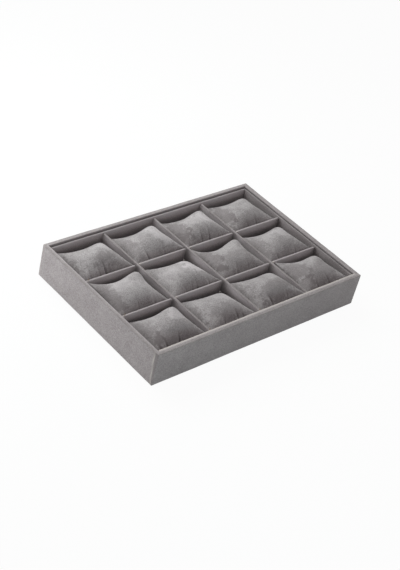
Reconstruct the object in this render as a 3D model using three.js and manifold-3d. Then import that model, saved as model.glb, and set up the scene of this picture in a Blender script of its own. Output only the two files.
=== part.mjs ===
// Jewellery drawer insert: a shallow velvet-covered tray, divided into a grid of compartments,
// each holding a small stuffed velvet pillow that lifts out.
// Millimetres, +Z up. The origin is the middle of the underside, where the tray stands.
// +X runs along the long front wall, from left to right, and +Y runs from the front wall to the back.

import * as THREE from "three";
import { mergeVertices } from "three/addons/utils/BufferGeometryUtils.js";
import Module from "manifold-3d";

const wasm = await Module();
wasm.setup();

// Driving dimensions of the tray
const TRAY_LENGTH = 360;
const TRAY_DEPTH = 240;
const RIM_HEIGHT = 50;
const COLUMNS = 4;
const ROWS = 3;
const LINER_BELOW_RIM = 3.5;
const DIVIDER_BELOW_RIM = 5;

// Thicknesses of the sheets that the tray is made of
const VELVET = 0.6;
const UNDERSIDE_CLOTH = 0.6;
const WALL_BOARD = 4.6;
const BASE_BOARD = 3;
const LINER_CARD = 1;
const FLOOR_CARD = 1.2;
const DIVIDER_CARD = 1.8;

// Edges, folds and gaps of the covered boards
const GLUE_LINE = 0.1;
const RIM_RADIUS = 2;
const FOOT_RADIUS = 1;
const CORNER_RADIUS = 2;
const STRIP_RADIUS = 0.8;
const TURN_IN = 18;
const MITRE_GAP = 0.1;
const UNDERSIDE_INSET = 3;
const STRIP_END_GAP = 0.3;
const FLOOR_EDGE_GAP = 0.3;
const SLOT_CLEARANCE = 0.5;

// The stuffed pillows
const PILLOW_HEIGHT = 45;
const PILLOW_SEAM_HEIGHT = 28.5;
const PILLOW_SIDE_GAP = 0.9;
const PILLOW_REST_GAP = 0.3;
const SIDE_DRAW = 6;
const CROWN_FULLNESS = 0.55;
const BELLY_FLATNESS = 3;
const SEAM_ALLOWANCE = 3;
const COVER_CLOTH = 1;
const FILLING_GAP = 0.4;
const STUFFING_SLIT_LENGTH = 26;
const STUFFING_SLIT_GAPE = 0.8;

// Facets: steps of a quarter round, and cells along one side of a pillow's surfaces
const ARC_STEPS = 4;
const COVER_CELLS = 8;
const FILLING_CELLS = 6;

// What follows from the driving dimensions
const skin = VELVET + GLUE_LINE;
const wallThickness = WALL_BOARD + 2 * skin;
const linerThickness = LINER_CARD + 2 * skin;
const dividerThickness = DIVIDER_CARD + 2 * skin;

const wrapBottom = UNDERSIDE_CLOTH + GLUE_LINE;
const boardBottom = wrapBottom + skin;
const baseTop = wrapBottom + BASE_BOARD;
const linerBottom = baseTop + GLUE_LINE;
const linerTop = RIM_HEIGHT - LINER_BELOW_RIM;
const floorCardTop = baseTop + GLUE_LINE + FLOOR_CARD;
const floorTop = floorCardTop + skin;
const dividerBottom = floorTop + GLUE_LINE;
const dividerTop = RIM_HEIGHT - DIVIDER_BELOW_RIM;
const lapHeight = (dividerBottom + dividerTop) / 2;

const wellLength = TRAY_LENGTH - 2 * wallThickness;
const wellDepth = TRAY_DEPTH - 2 * wallThickness;
const gridLength = wellLength - 2 * (GLUE_LINE + linerThickness);
const gridDepth = wellDepth - 2 * (GLUE_LINE + linerThickness);
const cellLength = (gridLength - (COLUMNS - 1) * dividerThickness) / COLUMNS;
const cellDepth = (gridDepth - (ROWS - 1) * dividerThickness) / ROWS;
const columnPitch = cellLength + dividerThickness;
const rowPitch = cellDepth + dividerThickness;

// Finishes
const velvet = new THREE.MeshStandardMaterial({ color: 0x979393, roughness: 0.95, metalness: 0 });
const pillowVelvet = new THREE.MeshStandardMaterial({ color: 0xa19e9d, roughness: 0.9, metalness: 0 });
const undersideCloth = new THREE.MeshStandardMaterial({ color: 0x4a4848, roughness: 1, metalness: 0 });
const fibreboard = new THREE.MeshStandardMaterial({ color: 0xa98a63, roughness: 0.85, metalness: 0 });
const greyboard = new THREE.MeshStandardMaterial({ color: 0x9b978f, roughness: 0.9, metalness: 0 });
const fibreFill = new THREE.MeshStandardMaterial({ color: 0xefede8, roughness: 1, metalness: 0 });

// Solids: joining and cutting closed meshes
function toSolid(geometry) {
  const bare = geometry.clone();
  bare.deleteAttribute("normal");
  bare.deleteAttribute("uv");
  const merged = mergeVertices(bare);
  return new wasm.Manifold(
    new wasm.Mesh({
      numProp: 3,
      vertProperties: new Float32Array(merged.attributes.position.array),
      triVerts: new Uint32Array(merged.index.array),
    }),
  );
}

function toGeometry(solid) {
  const mesh = solid.getMesh();
  const geometry = new THREE.BufferGeometry();
  geometry.setAttribute("position", new THREE.BufferAttribute(mesh.vertProperties, 3));
  geometry.setIndex(new THREE.BufferAttribute(mesh.triVerts, 1));
  geometry.computeVertexNormals();
  return geometry;
}

function cut(geometry, tools) {
  const rest = tools.reduce((solid, tool) => solid.subtract(toSolid(tool)), toSolid(geometry));
  return toGeometry(rest);
}

function common(geometry, envelope) {
  return toGeometry(toSolid(geometry).intersect(toSolid(envelope)));
}

// A box from its lowest and highest corners.
function block(low, high) {
  const size = high.map((value, axis) => value - low[axis]);
  const geometry = new THREE.BoxGeometry(...size);
  return geometry.translate(...low.map((value, axis) => value + size[axis] / 2));
}

// An outline drawn with round corners: each point is [x, y] or [x, y, radius].
function outline(points) {
  const shape = new THREE.Shape();
  const at = (index) => points[(index + points.length) % points.length];
  const corner = (index) => new THREE.Vector2(at(index)[0], at(index)[1]);
  points.forEach((point, index) => {
    const here = corner(index);
    const radius = point[2] ?? 0;
    if (radius <= 0) {
      index === 0 ? shape.moveTo(here.x, here.y) : shape.lineTo(here.x, here.y);
      return;
    }
    const toLast = corner(index - 1).sub(here).normalize();
    const toNext = corner(index + 1).sub(here).normalize();
    const centre = here.clone().addScaledVector(toLast, radius).addScaledVector(toNext, radius);
    const first = toNext.clone().negate();
    const turnsLeft = toNext.cross(toLast) > 0;
    const startAngle = first.angle();
    for (let step = 0; step <= ARC_STEPS; step++) {
      const angle = startAngle + ((turnsLeft ? 1 : -1) * (step / ARC_STEPS) * Math.PI) / 2;
      const x = centre.x + radius * Math.cos(angle);
      const y = centre.y + radius * Math.sin(angle);
      index === 0 && step === 0 ? shape.moveTo(x, y) : shape.lineTo(x, y);
    }
  });
  return shape;
}

// A section drawn as [inward, up], run along a wall: along X from -length / 2 to length / 2.
function runAlong(section, length) {
  const geometry = new THREE.ExtrudeGeometry(section, { depth: length, bevelEnabled: false });
  geometry.translate(0, 0, -length / 2);
  const along = new THREE.Matrix4().makeBasis(
    new THREE.Vector3(0, 1, 0),
    new THREE.Vector3(0, 0, 1),
    new THREE.Vector3(1, 0, 0),
  );
  return geometry.applyMatrix4(along);
}

// A prism with round vertical corners that bounds a covered box, standing on the ground.
function envelope(length, depth, radius) {
  const halfLength = length / 2;
  const halfDepth = depth / 2;
  const plan = outline([
    [-halfLength, -halfDepth, radius],
    [halfLength, -halfDepth, radius],
    [halfLength, halfDepth, radius],
    [-halfLength, halfDepth, radius],
  ]);
  return new THREE.ExtrudeGeometry(plan, { depth: RIM_HEIGHT, bevelEnabled: false });
}

// An upright plate with rounded top edges, as [inward, up] from its own mid plane.
// The outer edge of its foot may be rounded too.
function plateSection(halfThickness, bottom, top, radius, footRadius = 0) {
  const round = Math.min(radius, halfThickness * 0.9);
  return outline([
    [-halfThickness, bottom, footRadius],
    [halfThickness, bottom],
    [halfThickness, top, round],
    [-halfThickness, top, round],
  ]);
}

// A strip of velvet folded over the top of a card: an inverted U around its mid plane.
function foldedSection(halfThickness, bottom, top, radius) {
  const inside = halfThickness - VELVET;
  const insideRadius = radius - VELVET;
  return outline([
    [-halfThickness, bottom],
    [-inside, bottom],
    [-inside, top - VELVET, insideRadius],
    [inside, top - VELVET, insideRadius],
    [inside, bottom],
    [halfThickness, bottom],
    [halfThickness, top, radius],
    [-halfThickness, top, radius],
  ]);
}

const tray = new THREE.Group();

function add(parent, name, geometry, material) {
  const mesh = new THREE.Mesh(geometry, material);
  mesh.name = name;
  parent.add(mesh);
  return mesh;
}

// Base: the board between the walls, and the cloth glued under it that hides the folded edges
function addBase() {
  const halfLength = TRAY_LENGTH / 2 - skin - WALL_BOARD - GLUE_LINE;
  const halfDepth = TRAY_DEPTH / 2 - skin - WALL_BOARD - GLUE_LINE;
  const board = block([-halfLength, -halfDepth, wrapBottom], [halfLength, halfDepth, baseTop]);
  add(tray, "base_board", board, fibreboard);

  const clothLength = TRAY_LENGTH / 2 - UNDERSIDE_INSET;
  const clothDepth = TRAY_DEPTH / 2 - UNDERSIDE_INSET;
  const cloth = block([-clothLength, -clothDepth, 0], [clothLength, clothDepth, UNDERSIDE_CLOTH]);
  add(tray, "underside_cloth", cloth, undersideCloth);
}

// Floor pad: a card with velvet on it, laid inside the liners
function addFloor() {
  const halfLength = gridLength / 2 - FLOOR_EDGE_GAP;
  const halfDepth = gridDepth / 2 - FLOOR_EDGE_GAP;
  const card = block([-halfLength, -halfDepth, baseTop + GLUE_LINE], [halfLength, halfDepth, floorCardTop]);
  add(tray, "floor_card", card, greyboard);
  const cover = block([-halfLength, -halfDepth, floorCardTop + GLUE_LINE], [halfLength, halfDepth, floorTop]);
  add(tray, "floor_velvet", cover, velvet);
}

// Wall wrap: velvet glued up the outside of a wall, over its rim and down inside, and under its foot.
// Its section is a C, and its ends are mitred where two wraps meet at a corner.
function wrapGeometry(length, depth) {
  const footEnd = skin + WALL_BOARD;
  const innerFace = wallThickness - VELVET;
  const foldEnd = RIM_HEIGHT - TURN_IN;
  const section = outline([
    [footEnd, wrapBottom],
    [footEnd, wrapBottom + VELVET],
    [VELVET, wrapBottom + VELVET, FOOT_RADIUS - VELVET],
    [VELVET, RIM_HEIGHT - VELVET, RIM_RADIUS - VELVET],
    [innerFace, RIM_HEIGHT - VELVET, RIM_RADIUS - VELVET],
    [innerFace, foldEnd],
    [wallThickness, foldEnd],
    [wallThickness, RIM_HEIGHT, RIM_RADIUS],
    [0, RIM_HEIGHT, RIM_RADIUS],
    [0, wrapBottom, FOOT_RADIUS],
  ]);
  const panel = runAlong(section, length);
  const position = panel.attributes.position;
  for (let index = 0; index < position.count; index++) {
    const inward = position.getY(index);
    const end = length / 2 - inward - MITRE_GAP;
    position.setX(index, Math.sign(position.getX(index)) * end);
  }
  panel.translate(0, -depth / 2, 0);
  return common(panel, envelope(length, depth, CORNER_RADIUS));
}

// Wall board: the stiff core of a wall, cut back at its ends where it butts against its neighbours.
function boardGeometry(length, depth, endCut) {
  const rimRound = RIM_RADIUS - skin;
  const footRound = FOOT_RADIUS - skin;
  const section = plateSection(WALL_BOARD / 2, boardBottom, RIM_HEIGHT - skin, rimRound, footRound);
  const board = runAlong(section, length - 2 * endCut);
  board.translate(0, -depth / 2 + skin + WALL_BOARD / 2, 0);
  const inside = envelope(length - 2 * skin, depth - 2 * skin, CORNER_RADIUS - skin);
  const halfInside = length / 2 - skin;
  const ends = outline([
    [-halfInside, boardBottom, footRound],
    [halfInside, boardBottom, footRound],
    [halfInside, RIM_HEIGHT - skin, rimRound],
    [-halfInside, RIM_HEIGHT - skin, rimRound],
  ]);
  const across = new THREE.ExtrudeGeometry(ends, { depth, bevelEnabled: false });
  across.translate(0, 0, -depth / 2).rotateX(Math.PI / 2);
  return common(common(board, inside), across);
}

// One wall with its wrap and its liner, made as the front wall and turned into place.
// The long walls run past the ends of the side walls, and so do their liners.
function addWall(name, length, depth, turn, runsPast) {
  const wall = new THREE.Group();
  wall.rotation.z = turn;
  tray.add(wall);

  const boardCut = runsPast ? skin : skin + WALL_BOARD + GLUE_LINE;
  add(wall, `${name}_wall_board`, boardGeometry(length, depth, boardCut), fibreboard);
  add(wall, `${name}_wall_wrap`, wrapGeometry(length, depth), velvet);

  const linerCut = wallThickness + GLUE_LINE + (runsPast ? 0 : linerThickness + GLUE_LINE);
  const linerLength = length - 2 * linerCut;
  const linerMiddle = -depth / 2 + wallThickness + GLUE_LINE + linerThickness / 2;
  const cardSection = plateSection(LINER_CARD / 2, linerBottom, linerTop - skin, STRIP_RADIUS - skin);
  const card = runAlong(cardSection, linerLength);
  add(wall, `${name}_liner_card`, card, greyboard).position.y = linerMiddle;
  const fold = runAlong(foldedSection(linerThickness / 2, linerBottom, linerTop, STRIP_RADIUS), linerLength);
  add(wall, `${name}_liner_velvet`, fold, velvet).position.y = linerMiddle;
}

// Dividers: velvet-covered cards that slot into each other with half laps.
// A divider is made along X at the origin. Its slots open upwards or downwards.
function addDivider(name, length, slotPlaces, slotsOpenUp, place) {
  const halfSlot = dividerThickness / 2 + SLOT_CLEARANCE;
  const slotLow = slotsOpenUp ? lapHeight - SLOT_CLEARANCE / 2 : dividerBottom - dividerThickness;
  const slotHigh = slotsOpenUp ? dividerTop + dividerThickness : lapHeight + SLOT_CLEARANCE / 2;
  const slots = slotPlaces.map((middle) =>
    block([middle - halfSlot, -dividerThickness, slotLow], [middle + halfSlot, dividerThickness, slotHigh]),
  );
  const divider = new THREE.Group();
  place(divider);
  tray.add(divider);

  const cardSection = plateSection(DIVIDER_CARD / 2, dividerBottom, dividerTop - skin, STRIP_RADIUS - skin);
  add(divider, `${name}_card`, cut(runAlong(cardSection, length), slots), greyboard);
  const fold = foldedSection(dividerThickness / 2, dividerBottom, dividerTop, STRIP_RADIUS);
  add(divider, `${name}_velvet`, cut(runAlong(fold, length), slots), velvet);
}

// Places of count lines, evenly pitched about the middle.
function evenly(count, pitch) {
  return Array.from({ length: count }, (_, index) => (index - (count - 1) / 2) * pitch);
}

function addDividers() {
  const columnLines = evenly(COLUMNS - 1, columnPitch);
  const rowLines = evenly(ROWS - 1, rowPitch);
  rowLines.forEach((y, index) => {
    addDivider(`long_divider_${index + 1}`, gridLength - 2 * STRIP_END_GAP, columnLines, true, (divider) => {
      divider.position.y = y;
    });
  });
  columnLines.forEach((x, index) => {
    addDivider(`cross_divider_${index + 1}`, gridDepth - 2 * STRIP_END_GAP, rowLines, false, (divider) => {
      divider.position.x = x;
      divider.rotation.z = Math.PI / 2;
    });
  });
}

// A stuffed cushion: four pointed corners on a level seam, sides drawn in between them, a crown above
// the seam and a belly below it that is flat where it rests. inset is taken off all round.
function cushionGeometry(halfLength, halfWidth, cells, sideInset, faceInset) {
  const reachX = halfLength - sideInset;
  const reachY = halfWidth - sideInset;
  const crown = PILLOW_HEIGHT - PILLOW_SEAM_HEIGHT - faceInset;
  const belly = PILLOW_SEAM_HEIGHT - faceInset;
  const spread = (index) => Math.sin(((2 * index) / cells - 1) * (Math.PI / 2));
  const point = (column, row, above) => {
    const u = spread(column);
    const v = spread(row);
    const onSeam = column % cells === 0 || row % cells === 0;
    const swell = onSeam ? 0 : Math.pow((1 - u * u) * (1 - v * v), CROWN_FULLNESS);
    const x = u * (reachX - SIDE_DRAW * (1 - v * v));
    const y = v * (reachY - SIDE_DRAW * (1 - u * u));
    const drop = 1 - Math.pow(1 - swell, BELLY_FLATNESS);
    return [x, y, PILLOW_SEAM_HEIGHT + (above ? crown * swell : -belly * drop)];
  };
  const corners = [];
  for (let column = 0; column < cells; column++) {
    for (let row = 0; row < cells; row++) {
      const quad = [[column, row], [column + 1, row], [column + 1, row + 1], [column, row + 1]];
      const turned = column < cells / 2 !== row < cells / 2;
      const order = turned ? [1, 2, 3, 1, 3, 0] : [0, 1, 2, 0, 2, 3];
      for (const above of [true, false]) {
        const facing = above ? order : [...order].reverse();
        facing.forEach((index) => corners.push(...point(...quad[index], above)));
      }
    }
  }
  const geometry = new THREE.BufferGeometry();
  geometry.setAttribute("position", new THREE.Float32BufferAttribute(corners, 3));
  const merged = mergeVertices(geometry);
  merged.computeVertexNormals();
  return merged;
}

// A pillow: a sewn velvet cover with the slit that it was stuffed through, and its fibre filling.
function addPillow(row, column, x, y) {
  const halfLength = cellLength / 2 - PILLOW_SIDE_GAP;
  const halfWidth = cellDepth / 2 - PILLOW_SIDE_GAP;
  const seamBack = halfWidth - SIDE_DRAW;
  const slitHalf = STUFFING_SLIT_LENGTH / 2;
  const slitLow = PILLOW_SEAM_HEIGHT - STUFFING_SLIT_GAPE / 2;
  const slit = block(
    [-slitHalf, seamBack - 2 * SEAM_ALLOWANCE, slitLow],
    [slitHalf, halfWidth, slitLow + STUFFING_SLIT_GAPE],
  );
  const outside = cushionGeometry(halfLength, halfWidth, COVER_CELLS, 0, 0);
  const hollow = cushionGeometry(halfLength, halfWidth, FILLING_CELLS, SEAM_ALLOWANCE, COVER_CLOTH);
  const fillingSideInset = SEAM_ALLOWANCE + 2 * FILLING_GAP;
  const fillingFaceInset = COVER_CLOTH + FILLING_GAP;
  const stuffing = cushionGeometry(halfLength, halfWidth, FILLING_CELLS, fillingSideInset, fillingFaceInset);

  const pillow = new THREE.Group();
  pillow.position.set(x, y, floorTop + PILLOW_REST_GAP);
  tray.add(pillow);
  add(pillow, `pillow_${row}${column}_cover`, cut(outside, [hollow, slit]), pillowVelvet);
  add(pillow, `pillow_${row}${column}_filling`, stuffing, fibreFill);
}

// Rows are lettered from the front, and columns are numbered from the left.
function addPillows() {
  evenly(ROWS, rowPitch).forEach((y, row) => {
    evenly(COLUMNS, columnPitch).forEach((x, column) => {
      addPillow(String.fromCharCode("a".charCodeAt(0) + row), column + 1, x, y);
    });
  });
}

addBase();
addFloor();
addWall("front", TRAY_LENGTH, TRAY_DEPTH, 0, true);
addWall("back", TRAY_LENGTH, TRAY_DEPTH, Math.PI, true);
addWall("left", TRAY_DEPTH, TRAY_LENGTH, -Math.PI / 2, false);
addWall("right", TRAY_DEPTH, TRAY_LENGTH, Math.PI / 2, false);
addDividers();
addPillows();

export default tray;
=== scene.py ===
# Jewellery drawer insert: velvet-covered tray with a grid of dividers and twelve stuffed pillows.
# Metres, +Z up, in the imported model's own frame: +X along the front wall, +Y from the front to the back.
import math

import bpy
import numpy as np
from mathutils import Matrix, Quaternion, Vector, noise


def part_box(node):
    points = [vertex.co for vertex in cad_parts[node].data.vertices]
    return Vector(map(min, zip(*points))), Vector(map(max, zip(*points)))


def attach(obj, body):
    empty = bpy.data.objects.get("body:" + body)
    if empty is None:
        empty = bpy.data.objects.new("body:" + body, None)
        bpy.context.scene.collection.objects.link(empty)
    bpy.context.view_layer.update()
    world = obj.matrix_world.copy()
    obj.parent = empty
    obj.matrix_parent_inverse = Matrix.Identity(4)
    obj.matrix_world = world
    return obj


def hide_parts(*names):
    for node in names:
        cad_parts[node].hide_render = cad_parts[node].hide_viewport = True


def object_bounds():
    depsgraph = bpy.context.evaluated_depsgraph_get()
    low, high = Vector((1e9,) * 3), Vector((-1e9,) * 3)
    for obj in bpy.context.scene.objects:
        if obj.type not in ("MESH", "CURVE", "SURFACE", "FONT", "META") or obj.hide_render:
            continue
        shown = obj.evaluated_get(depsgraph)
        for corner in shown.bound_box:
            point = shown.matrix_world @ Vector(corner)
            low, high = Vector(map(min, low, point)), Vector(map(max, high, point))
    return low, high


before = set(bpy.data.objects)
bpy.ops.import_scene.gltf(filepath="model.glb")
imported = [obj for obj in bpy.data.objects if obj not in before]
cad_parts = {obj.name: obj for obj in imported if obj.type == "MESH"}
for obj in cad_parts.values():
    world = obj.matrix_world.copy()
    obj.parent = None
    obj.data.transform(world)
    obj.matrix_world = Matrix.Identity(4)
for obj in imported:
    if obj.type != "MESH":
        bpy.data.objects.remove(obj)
cad_low, cad_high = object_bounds()

MM = 0.001
TRAY = "tray"
ROWS = "abc"
COLUMNS = "1234"
LONG_DIVIDERS = (1, 2)
CROSS_DIVIDERS = (1, 2, 3)
FRAYED_DIVIDERS = ("long_divider_1", "long_divider_2", "cross_divider_1", "cross_divider_2")

# The camera of the photograph
CAMERA_AIM = (-18.4 * MM, -15.2 * MM, 25.2 * MM)
CAMERA_DISTANCE = 1620.8 * MM
CAMERA_AZIMUTH = -49.31
CAMERA_ELEVATION = 36.30
CAMERA_ROLL = 14.72
CAMERA_LENS = 77.79
CAMERA_SENSOR = 36.0

# Velvet glued over the boards
CLOTH = 0.6 * MM
CLOTH_STEP = 2.2 * MM
ARC_STEPS = 6
WAVE_LENGTH = 34 * MM
WAVE_HEIGHT = 0.22 * MM
RIPPLE_LENGTH = 9 * MM
RIPPLE_HEIGHT = 0.07 * MM
FLAT_STEP = 5.0 * MM
FLAT_DIP = 0.15 * MM
FLAT_CLOTH = 0.3 * MM
FLAT_WAVE = 0.5

# Walls: the rim's rounds and rolls, the corners, and the front wall's lap round the front left corner
RIM_RADIUS = 1.4 * MM
LEFT_RIM_RADIUS = 1.8 * MM
RIM_ROLL = {"front": 2.3 * MM, "right": 1.4 * MM}
RIM_ROLL_DROP = 2.9 * MM
FOOT_RADIUS = 1.0 * MM
CORNER_RADIUS = 2.2 * MM
SOFT_CORNER_RADIUS = 2.9 * MM
TURN_IN = 17.0 * MM
SEAM_RIDGE = 0.45 * MM
SEAM_RIDGE_WIDTH = 0.9 * MM
SEAM_WEAR = 0.55
LAP_FOOT = 3.0 * MM
LAP_RIM = 7.5 * MM
LAP_EDGE = 1.6 * MM
LAP_LINE = 0.9 * MM
LAP_WEAR = 0.75
# Painted shade over the lap, which makes it as dark as the shaded front face
LAP_SHADE = -0.68

# How the pile looks along each wall's rim: the painted highlight on the outer bend and on the inner edge, how
# much darker a ragged line along the outer bend looks, the painted highlight of a pale line along the inner
# edge, and how wide that edge's line is
RIM_TONES = {
    "front": (0.15, 1.0, 0.15, 1.0, 1.65 * MM),
    "right": (0.08, 0.0, 0.15, 0.0, 1.1 * MM),
    "back": (0.08, 0.0, 0.15, 0.3, 1.1 * MM),
    "left": (0.08, 0.0, 0.5, 0.42, 1.1 * MM),
}
BEND_LINE = 1.1 * MM
BEND_DEPTH = 0.3 * RIM_RADIUS
INNER_HIGHLIGHT_DEPTH = 0.8 * MM
RAGGED_BEND_LENGTH = 6.0 * MM
# The inner edge's painted pale line, in from the edge, and the painted shade on the cloth inside it: its
# width, and how far down it starts
INNER_EDGE = (BEND_DEPTH, CLOTH, BEND_DEPTH)
LEFT_INNER_EDGE = (1.6 * MM, 1.5 * MM, BEND_DEPTH / 4)
RIM_SHADE = 0.7

# Strips folded over the cards. Light is painted over each one's top, as highlight above 0 and as shade below,
# and painted light on one face, on the side of the second value's sign. Shade is painted where another piece
# stands against a strip, and low down.
STRIP_RADIUS = 1.1 * MM
DIVIDER_RADIUS = 1.5 * MM
DIVIDER_NOSE = 2.0 * MM
NOSE_STEPS = (0.0, 0.15, 0.4, 0.75)
NOSE_TAPER = 0.75
LINER_TOP_LIGHT = {"front": 0.3, "left": 0.3, "back": 0.9, "right": -0.3}
BACK_LINER_FACE_LIGHT = -0.55
LONG_DIVIDER_LIGHT = (0.38, -0.75)
CROSS_DIVIDER_LIGHT = (-0.4, 1.0)
TOP_LIGHT_FADE = 2.8 * MM
FACE_LIGHT_FADE = 20.0 * MM
CORNER_SHADE_FADE = 4.0 * MM
LOW_SHADE_DEPTH = 13.0 * MM
LOW_SHADE = -0.6
FRAYED_END = 2.0 * MM
SLOT_CLEARANCE = 0.5 * MM
END_GAP = 2.2 * MM
CARD_INSET = 2.2 * MM
CARD_EDGE = 0.2 * MM

# Pillows: the flat cut of each panel and the grid that it is simulated on
CUT_LENGTH = 90.0 * MM
CUT_WIDTH = 79.5 * MM
CELLS_LONG = 46
CELLS_WIDE = 40
CORNER_GAP = 1.6 * MM
WALL_GAP = 0.5 * MM
REST_GAP = 0.3 * MM
FIBRE_INSET = 1.8 * MM

# How a pillow settles: how far its seam sags, its crown leans and its back right corner rounds into a hump
BELLY_PRESS = 4.0 * MM
SIDE_SAG = 2.0 * MM
FRONT_SAG = 2.5 * MM
SIDE_FULLNESS = 0.10
SEAM_SLOPE = 0.48
SEAM_SLOPE_LOSS = 0.75
SIDE_SLOPE = 0.1
LEAN = 0.22
HUMP_PLACE = 0.68
HUMP_SPREAD = 0.33
HUMP_RISE = 17.0 * MM
HUMP_SLOPE = 0.55
CORNER_TUCK = 0.08
CORNER_TUCK_POWER = 6

# Gathers along the seams, creases at the front seam with painted shade in their grooves and painted highlight
# on their ridges, and the ragged edges of the pillows' patches of nap and painted shade
GATHER_HEIGHT = 0.3 * MM
GATHER_RISE = 1.5 * MM
GATHER_REACH = 9 * MM
GATHER_LENGTHS_MM = (4.5, 10)
CREASE_WIDTH = 1.2 * MM
CREASE_REACH = 11.0 * MM
CREASE_REACH_SPREAD = (0.8, 1.2)
CREASE_DRIFT = 0.25
CREASE_GAIN = 1.4
CREASE_UP = 0.8
CREASE_FORWARD = 0.6
CREASE_SHADE = 0.45
RIDGE_PLACE = 2.2 * CREASE_WIDTH
RIDGE_WIDTH = 1.7 * CREASE_WIDTH
RIDGE_HEIGHT = 0.7
RIDGE_SHADE = 0.3
PATCH_EDGE = 4.5 * MM
PATCH_RAGGED = 7.0 * MM
RAGGED_LENGTH = 7 * MM
RAGGED_SHIFT = 40
RAGGED_NOISE = (0.5, 2.2, 5)

# Threads: the closing stitches, and the yarn that frays at cut ends, in millimetres from its root
THREAD_RADIUS = 0.22 * MM
THREAD_SIDES = 8
THREAD_LEAN = Vector((0.3, 0.2, 0.93))
STITCH_COUNT = 11
STITCH_COLUMNS = 4
FRAYED_THREADS = 4
FRAYED_BACK = 4.0 * MM
FRAYED_TIP_LOW = (-0.4, -0.4, 1.2)
FRAYED_TIP_HIGH = (1.6, 1.2, 3.0)
FRAYED_BOW = 0.5

# Cloth settings, in a model that is enlarged so that the solver's forces suit it
SIM_SCALE = 20.0
SIM_FRAMES = 30
SIM_QUALITY = 6
SIM_MASS = 0.01
SIM_PRESSURE = 15.0
SIM_TENSION = 60.0
SIM_COMPRESSION = 25.0
SIM_SHEAR = 9.0
SIM_BENDING = 1.0
SIM_AIR = 2.0
SIM_PIN = 5.0
SIDE_PULL = 0.08
START_RISE = 12 * MM

# Stage: how much of the floor glows white to the eye, how far it reaches, the room's light, and each
# softbox's place, what it faces, its width and height, its power in watts and its tint
FLOOR_GLOW = 0.95
FLOOR_REACH = 6.0
ROOM_LIGHT = 0.38
SOFTBOXES = {
    "key softbox": ((-0.08, 0.56, 0.64), (0, 0, 0), 0.6, 0.5, 5.3, "f6fffc"),
    "left softbox": ((-0.56, 0.36, 0.15), (-0.18, 0.02, 0.03), 0.4, 0.2, 1.25, "f8ffff"),
    "front softbox": ((-0.42, -0.95, 0.10), (-0.10, -0.12, 0.03), 0.5, 0.2, 1.04, "d6ffff"),
}

# How each pillow lies, in millimetres above the ground: its corners, from the front left round to the back
# left, the middle of its back seam, and its crown. Then the creases at its front seam: each one's place from
# the pillow's middle, and its depth.
PILLOW_LIE = {
    "a1": ((36, 41, 30, 37), 33.0, 54, ((-30, 0.8), (-19, 1.9), (0, 2.0))),
    "a2": ((36, 42, 21, 37), 33.0, 51, ((-11, 1.0), (12, 2.2), (20, 0.8))),
    "a3": ((35, 45, 25.5, 39), 35.0, 55, ((-13, 2.8), (13, 0.8))),
    "a4": ((36, 42, 27, 46), 36.0, 52, ((-15, 0.9), (8, 1.4))),
    "b1": ((36, 40, 32, 45), 34.5, 52, ((-4, 0.7), (20, 0.6))),
    "b2": ((36, 43, 20.5, 37), 30.0, 51, ((-12, 1.0), (-2, 0.9), (6, 1.2), (25, 0.9))),
    "b3": ((36, 40, 30, 43), 28.0, 51, ((-9, 1.0), (12, 0.6))),
    "b4": ((36, 40, 25, 37), 28.5, 51, ((-18, 0.9), (15, 1.0))),
    "c1": ((36, 42, 26, 40), 31.0, 54.5, ((-24, 0.7), (-9, 0.8), (0, 1.8))),
    "c2": ((36, 44, 28, 37), 28.0, 53.5, ((-15, 1.9), (12, 0.6))),
    "c3": ((36, 42, 28.5, 37), 28.0, 52.5, ((-7, 1.9), (6, 1.6))),
    "c4": ((36, 40, 25.5, 37), 32.0, 51, ((-25, 1.0), (-6, 0.9), (9, 0.9))),
}

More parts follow.
